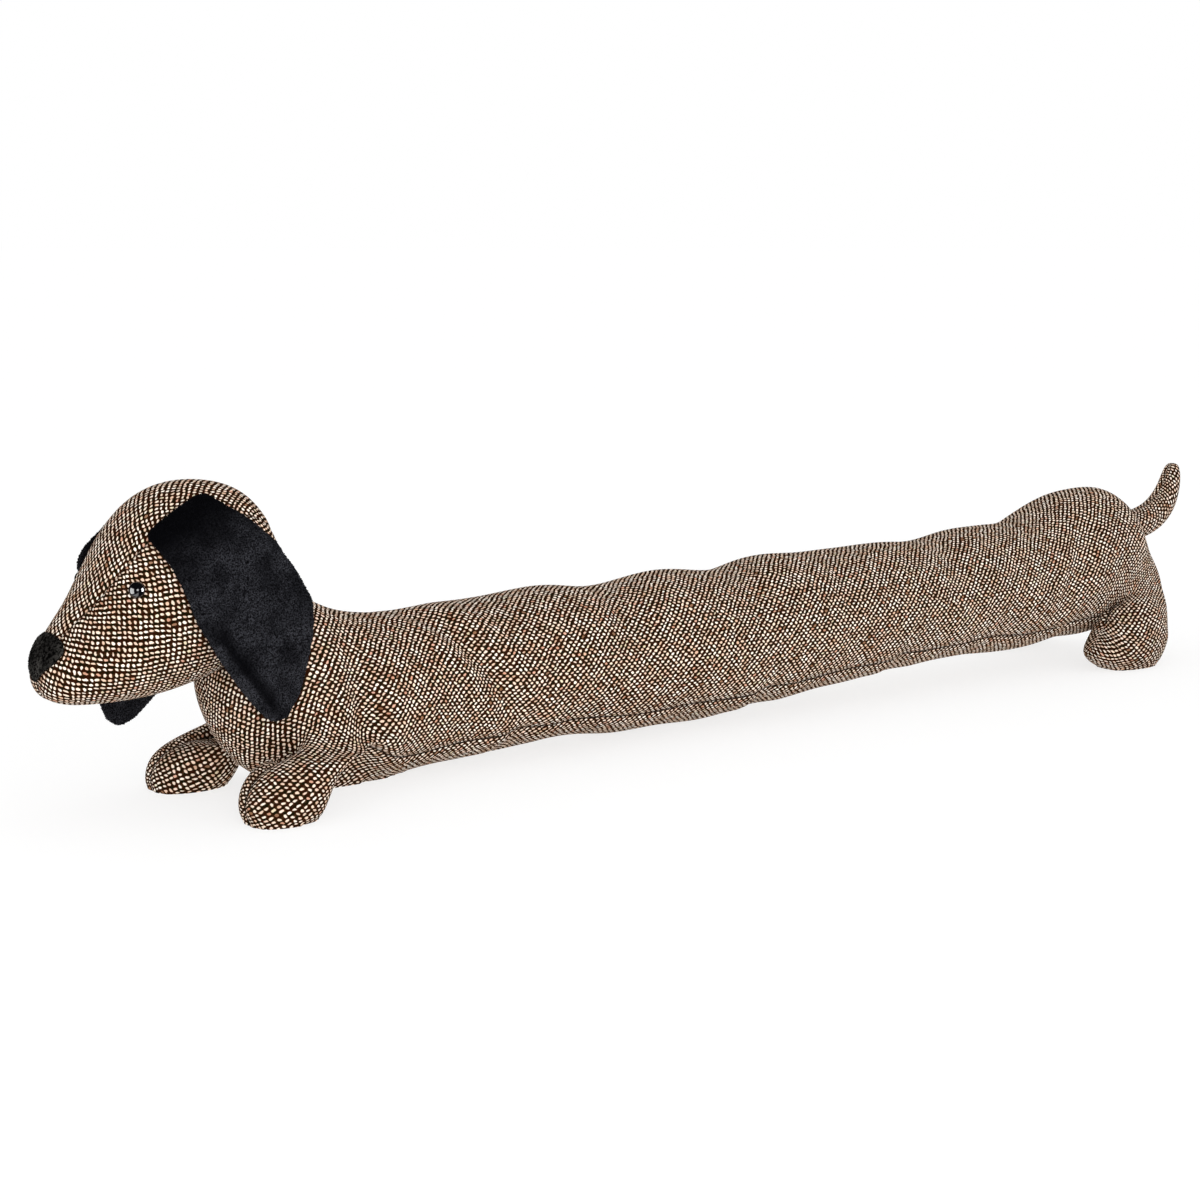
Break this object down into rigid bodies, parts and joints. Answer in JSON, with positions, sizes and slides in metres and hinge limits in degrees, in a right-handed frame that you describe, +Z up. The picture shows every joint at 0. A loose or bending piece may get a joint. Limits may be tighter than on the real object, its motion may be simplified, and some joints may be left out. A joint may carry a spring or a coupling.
{
  "type": "draught excluder",
  "caption": "Long stuffed dachshund door cushion in woven tweed, with hanging plush ears, a plush nose, bead eyes, short legs and an upturned tail.",
  "frame": {"origin": "centre of the bounding box's bottom, on the floor that the dog lies on", "axes": "+X from the head to the tail, +Z up, the dog's left side towards -Y"},
  "size_m": [0.9058, 0.1666, 0.1764],
  "materials": {
    "tweed": "matt chunky woven tweed",
    "plush": "short matt pile",
    "bead": "polished"
  },
  "bodies": {
    "root": {"trunk": "tweed", "head": "tweed", "tail": "tweed", "ear_left": "plush", "ear_right": "plush", "nose": "plush", "eye_left": "bead", "eye_right": "bead"}
  },
  "joints": []
}
